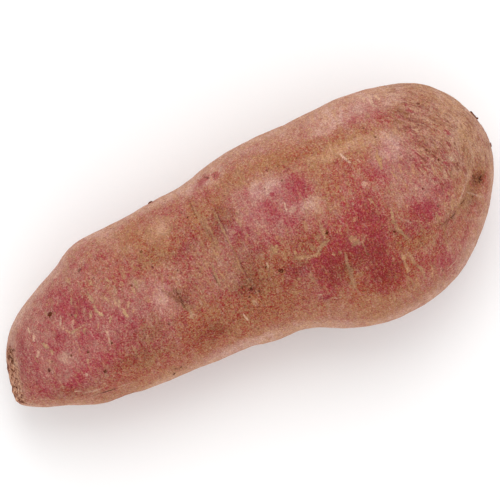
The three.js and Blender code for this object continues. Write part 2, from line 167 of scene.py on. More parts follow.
# Marks in the skin, seen from above: both ends, the width and the strength of each stroke
STROKES = [
    (BROWN, [
        # Painted shade: (-28.6, 3.0) beside the slit, (70.6, -12.8) and (63.0, -15.2) in the valley of the
        # tip fold, and (-70, -17.6) in the flank fold
        (-28.6, 3.0, -25.8, -0.6, 1.8, 0.5), (-20.4, -14.0, -16, -14.6, 1.2, 0.3),
        (78.8, -6.6, 82.6, -6.4, 3.2, 0.6), (70.6, -12.8, 76.0, -9.0, 1.6, 0.35),
        (63.0, -15.2, 68.0, -13.8, 1.2, 0.4), (-70, -17.6, -62, -18.4, 0.8, 0.4),
        (65.8, 25.6, 68.0, 22.4, 1.6, 0.5), (63.4, 22.4, 65.4, 20.2, 1.4, 0.4),
        (-86.0, 8.6, -84.4, 5.4, 1.2, 0.5),
    ]),
    (TAN, [
        (29.5, -10.4, 29.2, -15.5, 1.0, 0.8), (29.4, -15, 29.0, -21.5, 1.5, 0.9),
        (49.2, -3.8, 48.6, -8.6, 0.9, 0.7), (48.7, -8.5, 49.5, -11, 1.2, 0.9),
        (49.8, -11.4, 50.5, -14.2, 0.8, 0.8), (46.8, -18, 46.9, -20.6, 1.3, 0.8),
        (46.6, -21.4, 47.0, -24, 1.4, 0.7), (48.6, -17.5, 49.8, -23, 1.0, 0.8),
        (49.9, -23.6, 50.6, -28, 1.1, 0.7), (45.2, -25, 46.5, -29, 0.9, 0.6),
        (53.4, 14.5, 53.2, 11.0, 1.5, 0.8), (54.8, 7.5, 55.4, 5.0, 0.7, 0.6),
        (26.6, 2.2, 26.0, -3.6, 1.1, 0.7), (25.8, -3.8, 22.5, -5.8, 1.4, 0.8),
        (22, -6, 19.0, -6.8, 1.2, 0.7), (18.6, -6.4, 15.6, -5.0, 1.1, 0.6),
        (34.4, -6.2, 34.8, -8.6, 1.9, 0.7), (35.4, -8.2, 33.6, -9.4, 1.2, 0.6),
        (-10.4, 4.6, -10.8, -1.4, 0.9, 0.9), (-9.2, 3.0, -9.0, -1.0, 0.8, 0.8),
        (-8.4, 24.5, -8.1, 14, 0.9, 0.6), (-6.9, 20, -6.4, 9, 0.9, 0.6), (-7.4, 12, -8.2, 6.4, 0.8, 0.6),
        (-3.1, 20, -2.9, 6, 0.7, 0.9), (-2.9, 5.4, -2.7, -4.4, 0.6, 0.9),
        (-24.2, -5.4, -23.6, -8.0, 1.0, 0.6), (12, 4.8, 12.2, 3.0, 0.7, 0.5),
        (-33, 22.5, -34, 20.5, 0.9, 0.5), (68, 4, 67.6, 1.4, 0.8, 0.5), (72, 11, 71.7, 8, 0.7, 0.5),
        (39, -28.6, 39.4, -30.8, 0.7, 0.5), (57, 2.4, 57.4, 0, 0.6, 0.5),
        (-28.6, 6.4, -28.2, 3.8, 0.6, 0.5), (-14.8, 8.6, -15.0, 4.4, 0.6, 0.5),
        (-12.4, 7.0, -12.6, 2.4, 0.6, 0.5), (17, -12.5, 17.4, -15.0, 0.7, 0.5),
        (45, 3.0, 45.2, 0.4, 0.6, 0.5), (62.2, -20.4, 61.6, -23.4, 0.7, 0.5),
        (53.4, -26, 53.0, -29, 0.8, 0.6), (-26.8, 15.4, -24.0, 14.6, 1.0, 0.5),
        (-31.4, 14.0, -28.8, 14.4, 1.0, 0.5), (3.5, 15, 3.4, 11, 0.8, 0.5),
        (6.5, 8.8, 7.0, 7.0, 0.8, 0.5), (25.2, 10.5, 23.4, 6.0, 0.7, 0.4),
        (22.6, 5.0, 21.8, 2.6, 1.2, 0.6), (67.9, -11.9, 69.6, -9.4, 1.6, 0.6),
        (57.9, 9.0, 57.6, 6.6, 0.9, 0.6), (62.0, 6.8, 61.4, 4.4, 1.1, 0.5),
    ]),
    (FLECK, [
        (-51.4, 8.6, -51.8, 7.0, 1.0, 0.8), (-51.4, 6.2, -50.6, 4.8, 1.1, 0.8),
        (-53.6, 7.6, -54.6, 6.2, 0.9, 0.7), (-43.2, 6.2, -43.6, 4.8, 1.0, 0.8),
        (-42.8, 3.6, -43.3, 1.6, 1.1, 0.8), (-40.4, 5.6, -41.2, 4.0, 0.8, 0.6),
        (-57.0, 14.6, -57.6, 12.4, 0.8, 0.6), (-61.2, -6.0, -61.6, -7.6, 0.7, 0.5),
        (-51.5, 13.8, -51.4, 12.4, 0.9, 0.8), (-51.3, 11.6, -51.4, 10.4, 0.9, 0.7),
        (-44.2, 15.2, -44.0, 13.6, 0.8, 0.6), (-42.8, 12.0, -43.0, 10.2, 1.0, 0.6),
        (-37.3, 9.2, -37.4, 7.4, 0.8, 0.5), (-63.7, 6.4, -61.7, 4.2, 0.7, 0.5),
        (-61.4, 4.2, -59.5, 4.7, 0.6, 0.6), (-59.0, 4.6, -56.6, 4.7, 0.6, 0.6),
        (-71.4, 4.6, -71.0, 3.2, 0.8, 0.5), (-70.5, 1.6, -70.3, 0.4, 0.9, 0.5),
        (-45.4, -9.0, -45.2, -10.8, 1.0, 0.5), (-51.8, 10.9, -51.7, 9.6, 0.9, 0.8),
        (-44.6, 7.6, -44.3, 6.2, 0.9, 0.8), (-36.1, 10.6, -36.0, 8.8, 0.9, 0.7),
        (-67.0, 14.2, -67.4, 12.4, 0.9, 0.5), (-40.6, 4.8, -40.4, 3.2, 1.0, 0.6),
        (-72.2, 4.8, -71.6, 3.0, 1.1, 0.7), (-57.3, -12.8, -57.4, -14.0, 0.8, 0.5),
        (-55.9, 20.4, -55.6, 19.0, 1.0, 0.7), (-49.4, 16.8, -49.0, 15.6, 1.0, 0.7),
        (-46.9, 9.4, -47.2, 8.0, 0.8, 0.6), (-47.8, 3.4, -48.4, 2.0, 0.7, 0.6),
        (-53.0, 3.0, -53.4, 1.6, 0.7, 0.5), (-48.6, 12.6, -48.6, 11.4, 0.7, 0.5),
        (-41.6, 9.6, -41.8, 8.2, 0.7, 0.5),
    ]),
    (PALE, [
        (42.4, 19.5, 43.0, 17.4, 0.9, 0.9), (43.1, 17.2, 43.8, 15.8, 0.7, 0.7),
        (59.6, 34.4, 59.3, 31.2, 1.1, 1.0), (59.4, 30.6, 60.2, 29.4, 0.9, 0.9),
        (61.2, 33.0, 61.4, 31.4, 0.8, 0.8), (64.2, 34.6, 65.4, 33.2, 0.8, 0.9),
        (57.2, 35.0, 57.4, 33.0, 0.8, 0.6), (-52.0, 12.6, -52.6, 9.6, 1.2, 0.6),
        (-63, 9.6, -63.8, 8.4, 0.8, 0.6), (-60.0, 6.8, -61.0, 5.8, 0.7, 0.35),
        (-74.1, 8.3, -74.5, 6.9, 0.8, 0.9), (-74.5, 11.6, -74.9, 10.4, 0.8, 0.9),
        (-51.6, 0.4, -51.6, -1.8, 0.6, 0.5), (5.6, -2, 5.9, -4, 0.5, 0.5),
        (75.5, -9.2, 79.4, -12.6, 0.6, 0.5), (73.9, 4.0, 75.0, 2.2, 0.9, 0.7),
        (80.5, 12, 79.8, 8.5, 0.6, 0.5), (83, 6, 82.6, 3, 0.6, 0.5), (77, 22, 75.4, 19.6, 0.7, 0.4),
        (19.5, 13.2, 18.9, 9.8, 0.5, 0.6), (-8.0, -14.2, -8.2, -16.2, 0.6, 0.7),
        (-51.0, -0.3, -51.9, -6.3, 0.5, 0.4), (52.2, -8.6, 53.6, -9.6, 0.5, 0.4),
        (54.6, -9.8, 56.8, -11.0, 0.5, 0.35), (-69.4, -14.2, -67.4, -14.6, 0.7, 0.6),
        (20.6, -21.6, 22.4, -22.4, 0.6, 0.5), (16.8, -18.6, 18.0, -19.2, 0.7, 0.6),
        # Painted highlight: the four strokes from (77.8, -4.0) to (63.8, -13.3) along the ridge of the tip
        # fold
        (58.6, -29.6, 62.0, -28.2, 0.7, 0.5), (77.8, -4.0, 75.8, -6.4, 1.1, 0.45),
        (75.4, -6.8, 72.0, -10.0, 1.0, 0.5), (71.6, -10.2, 68.2, -11.9, 0.9, 0.5),
        (67.6, -12.1, 63.8, -13.3, 1.1, 0.4), (-66.5, -16.2, -60, -17.0, 0.8, 0.5),
        (-56, -18.6, -51, -19.4, 0.8, 0.4), (-75.6, 2.0, -74.8, 3.2, 0.9, 0.5),
        (46.0, 15.8, 47.2, 14.4, 0.5, 0.5),
    ]),
    (DARK, [
        (-24.9, 1.2, -24.4, -4.0, 0.7, 0.55), (-25.7, 5.0, -25.1, 1.8, 0.8, 0.25),
        (-2.3, 21.7, -2.2, 12, 0.4, 0.35), (-2.3, 3.4, -1.9, -5.4, 0.4, 0.4),
        # Painted shadow: (-62.2, -18.3) in the crease of the flank fold, and (72.9, -11.6), (68.9, -13.6),
        # (76.4, -8.6) and (71.8, -11.9) in the crease of the tip fold
        (-8.9, 27.5, -9.0, 20.5, 0.4, 0.3), (-62.2, -18.3, -57.4, -18.9, 0.6, 0.8),
        (72.9, -11.6, 69.6, -13.4, 0.7, 0.9), (68.9, -13.6, 66.2, -14.8, 0.5, 0.7),
        (76.4, -8.6, 74.0, -10.8, 0.6, 0.6), (-84.7, 5.8, -83.9, 3.0, 1.2, 0.8),
        (-86.0, 3.4, -85.4, 1.0, 0.8, 0.7), (-87.6, -3.0, -87.6, -5.4, 0.8, 0.8),
        (-88.6, -6.5, -87.4, -10.6, 0.7, 0.7), (-86.6, -1.6, -86.0, -3.2, 0.6, 0.7),
        (-83.3, 7.6, -82.2, 6.6, 0.7, 0.7), (-36.9, -21.0, -35.0, -21.8, 0.5, 0.7),
        (-11.6, 2.6, -11.3, -1.0, 0.45, 0.35), (2.5, 31.2, 1.6, 30.2, 0.4, 0.7),
        (-1.4, 32.3, 0.4, 31.2, 0.4, 0.6), (71.8, -11.9, 73.4, -10.7, 0.5, 0.6),
        (52.4, -12.4, 53.2, -14.2, 0.6, 0.7), (79.2, -7.2, 79.8, -5.0, 0.7, 0.7),
        (81.0, -7.8, 82.2, -6.4, 0.7, 1.0), (79.6, -5.0, 81.2, -4.4, 0.5, 0.6),
    ]),
]
# Spots: the middle, the size and the strength of each
SPOTS = [
    (TAN, [
        (10.1, 0.2, 2.3, 1.0), (9.8, 28.2, 1.9, 0.9), (-21.6, 23.2, 8.0, 0.3), (-25.6, 20.6, 3.0, 0.5),
        (-17.8, 21.6, 1.6, 0.6), (-27.4, 24.6, 2.2, 0.5), (15.2, -3.4, 1.4, 0.7), (21.5, -4.4, 1.4, 0.6),
        (37.4, -1.8, 1.2, 0.5), (24.2, -1.8, 1.2, 0.6), (18.3, -1.6, 1.0, 0.6), (-75.0, 2.6, 1.2, 0.7),
        (-57.4, 3.2, 0.9, 0.7), (-46.6, 8.6, 1.0, 0.7), (-49, 10.5, 0.9, 0.7), (-45.4, 2.2, 0.8, 0.6),
        (31.6, 9.4, 1.0, 0.5), (69, -6.5, 1.2, 0.5), (66, 9.0, 1.0, 0.6), (-64, 12.2, 0.8, 0.5),
        (56, 27.5, 1.4, 0.5), (-34.5, 3.0, 0.8, 0.5), (6.4, 17.2, 0.9, 0.5), (44, -18.6, 1.2, 0.5),
        (-58.4, 8.4, 1.0, 0.7), (-55.2, 20.2, 1.1, 0.6), (-49.0, 16.8, 1.0, 0.6), (26.6, -8.9, 0.9, 0.7),
        (28.7, -9.4, 0.9, 0.7), (13.5, -11.5, 1.0, 0.6), (17.2, -11.4, 1.0, 0.6), (-66.3, 16.0, 0.9, 0.5),
        (51.5, 22.8, 1.0, 0.4), (-48.2, 6.4, 0.8, 0.8), (-47.4, 4.4, 0.8, 0.7), (-49.8, 2.8, 0.8, 0.6),
        (-41.0, 2.0, 0.7, 0.5),
    ]),
    (PALE, [
        (-86.1, -0.9, 1.4, 0.7), (-87.0, -1.2, 0.9, 0.6), (-87.8, -2.9, 1.0, 0.7),
        (-87.3, -5.5, 1.2, 0.7), (-84.0, 2.1, 0.9, 0.6), (-86.4, 1.4, 0.9, 0.6), (-85.8, -6.4, 1.0, 0.5),
        # Painted highlight: the broad faint spots at (12.6, 18.0), (20.4, 10.2) and (28.4, 7.2) on the
        # crown, and (-29.6, 1.0) on the bump beside the slit
        (-88.0, -7.6, 1.0, 0.6), (45.2, 7.8, 1.6, 0.5), (12.6, 18.0, 2.4, 0.15), (20.4, 10.2, 2.0, 0.4),
        (-67.8, -2.6, 3.6, 0.15), (-29.6, 1.0, 3.4, 0.15), (66.6, 30.2, 3.2, 0.25),
        (63.4, 29.0, 2.4, 0.2), (-63.0, -10.4, 1.0, 0.6), (-21.0, 23.0, 3.0, 0.3), (28.4, 7.2, 2.6, 0.12),
        (-23.6, -7.6, 1.8, 0.4), (-3.6, -12.4, 1.6, 0.3), (-53.6, 13.0, 0.8, 0.5), (39.4, 3.4, 0.9, 0.4),
        (60.4, -1.0, 1.2, 0.4),
    ]),
    (DARK, [
        (-83.7, 6.6, 1.1, 0.8), (-85.2, 5.4, 1.0, 0.8), (-84.0, 4.6, 1.3, 0.9), (-84.6, 2.2, 1.2, 0.9),
        (-84.5, 0.4, 0.8, 0.8), (-87.1, 0.6, 0.7, 0.8), (-86.5, -2.6, 1.0, 0.9), (-88.8, -4.4, 1.0, 0.9),
        (-88.0, -6.3, 0.9, 0.8), (-88.5, -9.2, 0.8, 0.8), (-84.6, -4.4, 0.6, 0.7),
        (-86.9, -8.4, 0.7, 0.7), (15.3, 20.0, 0.7, 0.6), (5.0, -3.4, 0.7, 0.7), (-65.2, -2.6, 0.8, 0.7),
        (-60.0, -3.9, 0.6, 0.8), (-50.8, 21.6, 1.1, 0.5), (-37.4, 9.6, 0.6, 0.6), (-47.6, 4.0, 0.5, 0.6),
        (-50.6, 6.2, 0.5, 0.6), (-66.2, 12.5, 1.3, 0.8), (-74.4, -4.1, 1.0, 0.9),
        (-57.0, -12.1, 1.0, 0.7), (-37.8, -22.6, 0.9, 0.9), (-34.8, -21.5, 0.8, 0.8),
        (8.4, -6.5, 1.1, 0.9), (27.8, -1.3, 0.9, 0.9), (2.3, 23.4, 0.6, 0.8), (21.5, 20, 0.6, 0.6),
        (-2.4, -8.0, 1.0, 0.7), (81.4, -7.2, 0.9, 1.0), (80.0, -5.7, 0.8, 0.7), (82.3, -7.6, 0.7, 0.9),
        (-64.4, -1.2, 0.7, 0.7), (-71.9, -2.0, 0.6, 0.7), (-51.6, -4.6, 0.5, 0.7),
        (47.4, -10.6, 0.7, 0.7), (36.6, -13.4, 0.6, 0.6), (61.8, -2.0, 0.6, 0.7), (53.0, 24.2, 0.6, 0.6),
        (-59.8, 9.2, 0.6, 0.6), (-43.8, 8.4, 0.6, 0.5), (70.6, 5.0, 0.7, 0.8), (76.6, -11.0, 0.7, 0.8),
        (12.6, -10.4, 0.6, 0.6), (-28.4, 12.0, 0.6, 0.7), (-12.0, 22.4, 0.6, 0.7), (66.6, 18.0, 0.6, 0.5),
        (31.0, 20.6, 0.5, 0.5), (-80.0, -6.2, 0.5, 0.5), (-47.6, 17.4, 0.6, 0.6), (17.2, 24.4, 0.5, 0.6),
        (72.6, 24.2, 0.7, 0.7), (-5.8, -20.4, 0.6, 0.6), (57.4, -29.0, 0.6, 0.6), (-5.2, -6.0, 0.7, 0.6),
        (-0.4, -9.6, 0.6, 0.7), (-4.4, -10.0, 0.6, 0.6), (-12.6, 24.8, 0.7, 0.6), (-30.2, 18.6, 0.7, 0.6),
        (68.6, 9.4, 0.6, 0.6), (74.4, -8.2, 0.6, 0.6), (77.8, -7.4, 0.6, 0.7), (64.0, -9.0, 0.6, 0.6),
    ]),
]
# Scabs of red skin: the middle, the size along and across the root, and the turn in degrees
SCABS = [
    (-1.6, 31.4, 4.6, 4.6, -12), (2.4, 30.9, 3.0, 4.4, 20), (18.6, -21.0, 3.4, 1.5, 8),
    (63.6, -11.8, 2.0, 1.0, -40), (72.4, 2.4, 1.4, 2.2, 35), (-19.8, 32.0, 2.6, 1.0, 0),
    (69.5, 23.0, 1.4, 2.6, 40), (77.6, 11.6, 1.2, 2.4, 30), (16.7, 17.1, 1.6, 1.6, 0),
    (24.6, 22.6, 2.2, 1.0, 0), (76.2, 8.0, 1.4, 1.8, 20), (-66.8, 4.4, 2.2, 1.6, 10),
]

# Sharp forms in the skin, seen from above: a line through these points, its depth and its half width
CREASES = [
    # slit in the middle dent
    ([(-26.0, 6.0), (-25.0, 1.8), (-24.6, -1.4), (-24.0, -5.6)], 0.45, 1.0),
    # crease of the flank fold
    ([(-75, -17.4), (-62, -19.9), (-50, -21.6)], 0.55, 0.9),
    # crease of the tip fold
    ([(79.6, -3.0), (75.6, -9.4), (68.4, -14.0), (59.0, -17.6)], 0.6, 1.0),
    # curl round the eye
    ([(79.0, -7.6), (80.0, -4.7), (82.6, -5.2), (83.6, -8.0)], 0.35, 0.7),
    # long line over the middle
    ([(-2.4, 24), (-3.0, 10), (-2.4, -9)], 0.22, 0.7),
    # line beside it
    ([(-8.0, 28), (-8.4, 16)], 0.2, 0.7),
    # edge of the shoulder valley
    ([(2, 25.0), (27, 22.9), (46, 22.2), (66, 21.2)], 0.25, 1.6),
]
# The eye: its place from above, its radius and its depth
EYE = (81.2, -7.0, 1.5, 0.8)

# The blunt tip, which fine wrinkles run round, and how far apart they lie
TIP = (90.0, 5.6, 29.4)
TIP_WRINKLE = 2.5

# The torn skin near the tip: the point its streaks bend round, seen from above, the radius at which they
# lie, and how long and how wide they are
STREAK_CENTRE = (42.0, -6.0)
STREAK_RADIUS = 40.0
STREAK_LENGTH = 7.0
STREAK_WIDTH = 1.5
# It fades in from the first to the second value along X and along Y
TORN_ALONG = (57, 68)
TORN_ACROSS = (-9, 0)

# The stem scar: the broken face at the low end of X, how it turns and leans for each mm, and its radius
SCAR_CENTRE = (-85.9, -0.9, 24.8)
SCAR_TURN = 0.26
SCAR_TILT = 0.27
SCAR_RADIUS = 9.2

# How many more marks a seeded draw puts on the hidden sides and on the upper side
HIDDEN_MARKS = 420
UPPER_MARKS = 130
# How many layers the marks need, so that close ones don't touch in the same layer
MARK_LAYERS = 4
SCAB_STRENGTH = 0.55

# The width of one grain of the peppery colour
PEPPER_CELL = 0.38

# Stubs of side roots: the points of each one's middle line, seen from above, its height over the skin and
# its radius
STUBS = [
    ([(88.3, 14.9), (88.9, 13.9), (89.2, 12.9), (89.4, 12.0)], 0.1, 0.32),
    ([(89.3, 12.2), (89.9, 11.5)], 0.35, 0.36),
    ([(89.8, 2.7), (90.0, 1.0)], 0.15, 0.24),
    ([(-20.0, 32.6), (-21.6, 32.9)], 0.15, 0.34),
]
STUB_SIDES = 10


def srgb(code):
    """A hex colour as linear red, green, blue and alpha."""
    values = [int(code[i : i + 2], 16) / 255 for i in (1, 3, 5)]
    return [v / 12.92 if v <= 0.04045 else ((v + 0.055) / 1.055) ** 2.4 for v in values] + [1.0]


def smooth(low, high, values):
    """0 at low, 1 at high, and a smooth step between."""
    t = np.clip((values - low) / (high - low), 0.0, 1.0)
    return t * t * (3.0 - 2.0 * t)


def noise_at(points, scale, seed=0.0):
    """Noise from about -1 to 1 at each point. scale is one size in mm, or one for each axis."""
    shift = Vector((seed * 17.1, seed * 5.3, seed * 9.7))
    cells = points / np.asarray(scale, float)
    return np.array([noise.noise(Vector(p) + shift) for p in cells])


def drift(points, seed):
    """A slow drift of up to about 2 mm with a finer one on it, which frays the edges of the zones."""
    return 1.6 * noise_at(points, 5.0, seed) + 0.8 * noise_at(points, 2.2, seed + 1.0)


def new_object(name, data):
    piece = bpy.data.objects.new(name, data)
    bpy.context.scene.collection.objects.link(piece)
    return piece


class Skin:
    """The fine skin as arrays in mm: its points, the way each faces, and what is told of each point."""

    def __init__(self, mesh):
        self.mesh = mesh
        flat = np.empty(len(mesh.vertices) * 3, np.float32)
        mesh.vertices.foreach_get("co", flat)
        self.points = flat.reshape(-1, 3).astype(float) / MM
        mesh.vertices.foreach_get("normal", flat)
        self.normals = flat.reshape(-1, 3).astype(float)
        upper = np.flatnonzero(self.normals[:, 2] > 0.05)
        self.tree = kdtree.KDTree(len(upper))
        for i in upper:
            self.tree.insert((self.points[i, 0], self.points[i, 1], 0.0), int(i))
        self.tree.balance()

    def land(self, x, y):
        """The number of the point that is seen at x, y from above."""
        return self.tree.find((x, y, 0.0))[1]

    def local(self, at, direction):
        """Each point's place along, across and off the skin at the point `at`."""
        normal = self.normals[at]
        along = np.asarray(direction, float)
        along = along - normal * (along @ normal)
        along = along / np.linalg.norm(along)
        offset = self.points - self.points[at]
        return offset @ along, offset @ np.cross(normal, along), offset @ normal

    def attribute(self, name, values):
        """Stores a number, a place or a colour for each point, which the material reads by this name."""
        width = 1 if values.ndim == 1 else values.shape[1]
        kinds = {1: ("FLOAT", "value"), 3: ("FLOAT_VECTOR", "vector"), 4: ("FLOAT_COLOR", "color")}
        kind, field = kinds[width]
        layer = self.mesh.attributes.new(name, kind, "POINT")
        layer.data.foreach_set(field, values.astype(np.float32).ravel())

    def move(self, heights):
        """Moves every point straight out by its height, and no lower than the table."""
        self.points += self.normals * heights[:, None]
        self.points[:, 2] = np.maximum(self.points[:, 2], 0.0)
        self.mesh.vertices.foreach_set("co", (self.points * MM).astype(np.float32).ravel())
        self.mesh.update()


def fine_copy(node):
    """A copy of the CAD root with its doubles merged, made quads again and smoothed twice."""
    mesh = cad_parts[node].data.copy()
    mesh.materials.clear()
    work = bmesh.new()
    work.from_mesh(mesh)
    bmesh.ops.remove_doubles(work, verts=work.verts, dist=0.01 * MM)
    bmesh.ops.join_triangles(
        work,
        faces=work.faces,
        angle_face_threshold=math.radians(60),
        angle_shape_threshold=math.radians(75),
    )
    work.to_mesh(mesh)
    work.free()
    piece = new_object("sweet_potato_skin", mesh)
    finer = piece.modifiers.new("finer", "SUBSURF")
    finer.levels = finer.render_levels = 2
    graph = bpy.context.evaluated_depsgraph_get()
    smoothed = bpy.data.meshes.new_from_object(piece.evaluated_get(graph))
    piece.modifiers.clear()
    piece.data = smoothed
    smoothed.name = "sweet_potato_skin"
    smoothed.polygons.foreach_set("use_smooth", np.ones(len(smoothed.polygons), bool))
    for layer in list(smoothed.uv_layers):
        smoothed.uv_layers.remove(layer)
    return piece


def distance_to_line(points, corners):
    """Each point's distance from a line through the corners, seen from above, and its place from 0 to 1."""
    best = np.full(len(points), 1e9)
    place = np.zeros(len(points))
    for i, (start, end) in enumerate(zip(corners, corners[1:])):
        start = np.array(start, float)
        step = np.array(end, float) - start
        t = np.clip((points[:, :2] - start) @ step / (step @ step), 0.0, 1.0)
        away = np.linalg.norm(points[:, :2] - start - t[:, None] * step, axis=1)
        closer = away < best
        best[closer] = away[closer]
        place[closer] = (i + t[closer]) / (len(corners) - 1)
    return best, place


def zone_field(skin, zones):
    """How much the zones add at each point of the upper side. Each zone fades out at its edge."""
    total = np.zeros(len(skin.points))
    east = skin.points[:, 0] + drift(skin.points, 12.0)
    north = skin.points[:, 1] + drift(skin.points, 14.0)
    for x, y, along, across, turn, amount in zones:
        c, s = math.cos(math.radians(turn)), math.sin(math.radians(turn))
        dx, dy = east - x, north - y
        reach = np.hypot((dx * c + dy * s) / along, (dy * c - dx * s) / across)
        total += amount * smooth(1.5, 0.35, reach)
    return total * smooth(-0.25, 0.15, skin.normals[:, 2])


def scar_field(skin):
    """1 on the broken face of the stem end and 0 on the skin, with a ragged edge."""
    dx, dy, dz = (skin.points - SCAR_CENTRE).T
    ragged = noise_at(skin.points, 1.8, 3.0)
    off_plane = dx - SCAR_TURN * dy - SCAR_TILT * dz + 0.5 * ragged
    reach = np.hypot(dy, dz) + 0.6 * ragged
    return smooth(2.4, 1.4, off_plane) * smooth(SCAR_RADIUS + 1.6, SCAR_RADIUS + 0.2, reach)


def torn_field(skin):
    """1 where the skin near the tip is torn, and each point's place across, along and up, in streaks."""
    x, y, z = skin.points.T
    wander = 3.0 * noise_at(skin.points, 8.0, 18.0)
    amount = smooth(*TORN_ALONG, x + wander) * smooth(*TORN_ACROSS, y + wander)
    amount *= smooth(-0.1, 0.2, skin.normals[:, 2])
    east, north = x - STREAK_CENTRE[0], y - STREAK_CENTRE[1]
    across = np.hypot(east, north) / STREAK_WIDTH
    along = np.arctan2(north, east) * STREAK_RADIUS / STREAK_LENGTH
    return amount, np.stack([across, along, z / STREAK_WIDTH], 1)


def fine_relief(skin, scar):
    """Heights in mm: lumps, cross wrinkles, creases, the eye, wrinkles at the tip and the broken scar."""
    p = skin.points
    above = smooth(-0.1, 0.2, skin.normals[:, 2])
    heights = 0.28 * noise_at(p, (9, 13, 13), 1.0) + 0.13 * noise_at(p, (3.6, 6, 6), 2.0)
    heights += 0.06 * noise_at(p, (1.6, 3.4, 3.4), 4.0)
    for corners, depth, width in CREASES:
        away, place = distance_to_line(p, corners)
        fade = np.sin(np.pi * np.clip(place * 0.9 + 0.05, 0, 1)) ** 0.5
        heights -= above * fade * depth * np.exp(-((away / width) ** 2))
    x, y, radius, depth = EYE
    away = np.hypot(p[:, 0] - x, p[:, 1] - y)
    heights -= above * depth * np.exp(-((away / radius) ** 2))
    from_tip = np.linalg.norm(p - TIP, axis=1) + 1.6 * noise_at(p, 9.0, 5.0)
    fading = smooth(30, 16, from_tip) * smooth(-0.4, 0.4, noise_at(p, 7.0, 6.0))
    heights += 0.09 * np.sin(2 * np.pi * from_tip / TIP_WRINKLE) * fading
    broken = 0.35 * noise_at(p, 1.5, 7.0) + 0.30 * noise_at(p, 3.2, 8.0)
    return heights * (1 - scar) + broken * scar


class Marks:
    """Strokes and spots that the skin's material draws. Each point of the skin is told where it lies in its
    nearest mark, in half sizes, so a mark has crisp edges, and is told that mark's height and colour. Marks
    that would touch go to different layers."""

    REACH = 1.3  # a mark is told to points this many mm past its edge
    CLEAR = 1.1  # and stays this much further from the next mark of its layer
    FAR = 9.0  # the place, in half sizes, of a point that lies in no mark
    HEIGHTS = {TAN: 1.0, FLECK: 0.8, PALE: 0.5, BROWN: -0.3, DARK: -1.0, RED: 0.5}

    def __init__(self, skin):
        self.skin = skin
        count = len(skin.points)
        self.wobble = 0.5 * noise_at(skin.points, 3.2, 16.0)
        self.layers = [
            {
                "best": np.full(count, 1e9),
                "place": np.tile([self.FAR, self.FAR, 0.0], (count, 1)),
                "paint": np.zeros((count, 4)),
            }
            for _ in range(MARK_LAYERS)
        ]

    def near(self, at, along, across, off, half_length, half_width):
        """The points round a mark that face the same way as its middle."""
        reach = half_length + self.REACH + self.CLEAR + 1.0
        close = (np.abs(along) < reach) & (np.abs(across) < half_width + 4.0) & (np.abs(off) < 5.0)
        near = np.flatnonzero(close)
        return near[self.skin.normals[near] @ self.skin.normals[at] > 0.2]

    def add(self, at, direction, half_length, half_width, colour, strength):
        """Puts one mark in the first layer that has room for it, or leaves it out."""
        along, across, off = self.skin.local(at, direction)
        near = self.near(at, along, across, off, half_length, half_width)
        along, across = along[near], across[near] + self.wobble[near]
        past_end = np.maximum(np.abs(along) - half_length, 0)
        past_side = np.maximum(np.abs(across) - half_width, 0)
        away = np.hypot(past_end, past_side)
        round_it = near[away < self.REACH + self.CLEAR]
        free = [layer for layer in self.layers if not (layer["best"][round_it] < self.REACH).any()]
        if not free:
            return
        told = away < self.REACH
        rows = near[told]
        height = np.full(len(rows), self.HEIGHTS[colour] * strength)
        bright = rng.uniform(0.88, 1.12)
        tint = [v * bright * rng.uniform(0.96, 1.04) for v in srgb(colour)[:3]]
        free[0]["best"][rows] = away[told]
        free[0]["place"][rows] = np.stack([along[told] / half_length, across[told] / half_width, height], 1)
        free[0]["paint"][rows] = [*tint, min(1.0, 1.3 * strength)]

    def stroke(self, start, end, width, colour, strength):
        a, b = (self.skin.points[self.skin.land(*corner)] for corner in (start, end))
        middle = self.skin.land((start[0] + end[0]) / 2, (start[1] + end[1]) / 2)
        self.add(middle, b - a, np.linalg.norm(b - a) / 2 + width / 2, width / 2, colour, strength)

    def write(self):
        for i, layer in enumerate(self.layers):
            self.skin.attribute(f"mark_place_{i}", layer["place"])
            self.skin.attribute(f"mark_paint_{i}", layer["paint"])


def place_marks(skin, scar):
    """The marks seen in the photograph, then like ones by a seeded draw, most on the hidden sides."""
    marks = Marks(skin)
    for x, y, along, across, turn in SCABS:
        direction = (math.cos(math.radians(turn)), math.sin(math.radians(turn)), 0)
        marks.add(skin.land(x, y), direction, along / 2, across / 2, RED, SCAB_STRENGTH)
    for colour, strokes in STROKES:
        for x0, y0, x1, y1, width, strength in strokes:
            marks.stroke((x0, y0), (x1, y1), width, colour, strength)
    for colour, spots in SPOTS:
        for x, y, size, strength in spots:
            marks.add(skin.land(x, y), (0.4, 1, 0), size * 0.6, size * 0.5, colour, strength)
    hidden = np.flatnonzero((skin.normals[:, 2] < 0.25) & (scar < 0.1))
    upper = np.flatnonzero((skin.normals[:, 2] >= 0.25) & (scar < 0.1))
    for pool, wanted in ((hidden, HIDDEN_MARKS), (upper, UPPER_MARKS)):
        for at in rng.choice(pool, wanted, replace=False):
            colour = rng.choice([TAN, TAN, PALE, DARK, DARK, DARK])
            round_root = np.cross(skin.normals[at], (1, 0, 0)) + rng.normal(0, 0.15, 3)
            if colour == DARK:
                length, width = rng.uniform(0.25, 0.45), rng.uniform(0.2, 0.35)
            else:
                length, width = rng.uniform(0.4, 1.0) ** 2 * 2.2, rng.uniform(0.25, 0.5)
            strength = rng.uniform(0.12, 0.35) if colour == PALE else rng.uniform(0.25, 0.6)
            marks.add(at, round_root, length, width, colour, strength)
    marks.write()


# Materials

def set_inputs(tree, node, inputs):
    """Sets a node's inputs, each to a value or a hex colour, or joins it to another node's output."""
    for name, value in inputs.items():
        if isinstance(value, bpy.types.NodeSocket):
            tree.links.new(value, node.inputs[name])
        else:
            node.inputs[name].default_value = srgb(value) if isinstance(value, str) else value


